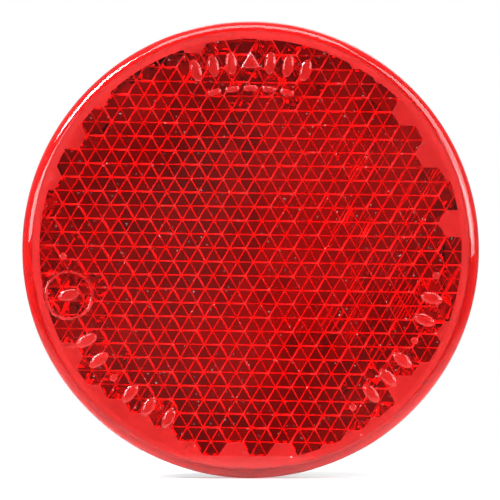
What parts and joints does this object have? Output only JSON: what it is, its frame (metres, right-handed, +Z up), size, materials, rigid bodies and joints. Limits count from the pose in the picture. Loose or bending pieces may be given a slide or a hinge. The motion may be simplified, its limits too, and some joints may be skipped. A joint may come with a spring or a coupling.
{
  "type": "reflex reflector",
  "caption": "Round red reflex reflector for a driveway snow marker: cube-corner lens sealed on a dished housing, foam-gasketed back and threaded stud with nut and washers.",
  "frame": {"origin": "where the stud's axis meets the mounting plane, which is the back of the foam gasket", "axes": "+Y along the stud, away from the lens; the lens faces -Y; +Z up; +X to the right seen from the front"},
  "size_m": [0.06, 0.0259, 0.06],
  "materials": {
    "lens": "polished transparent red acrylic",
    "housing": "satin moulded grey ABS",
    "zinc_steel": "bright zinc plated",
    "spring_steel": "dark zinc plated spring steel",
    "seal_rubber": "moulded rubber",
    "gasket_foam": "closed-cell foam"
  },
  "bodies": {
    "reflector_body": {"reflector_lens": "lens", "back_housing": "housing", "mounting_bolt": "zinc_steel", "sealing_ring": "seal_rubber", "push_on_retainer": "spring_steel", "foam_gasket": "gasket_foam"},
    "washers": {"flat_washer": "zinc_steel", "spring_washer": "spring_steel"},
    "nut": {"hex_nut": "zinc_steel"}
  },
  "joints": [
    {"name": "nut_travel", "type": "slide", "parent": "reflector_body", "child": "washers", "axis": [0, 1, 0], "range_m": [-0.0028, 0.0078]},
    {"name": "nut_turn", "type": "hinge", "parent": "washers", "child": "nut", "pos_m": [0, 0.0072, 0], "axis": [0, 1, 0], "range_deg": [-1265, 3515]}
  ],
  "couplings": [
    {"joint": "nut_turn", "follows": "nut_travel", "rad_per_m": 7854}
  ]
}
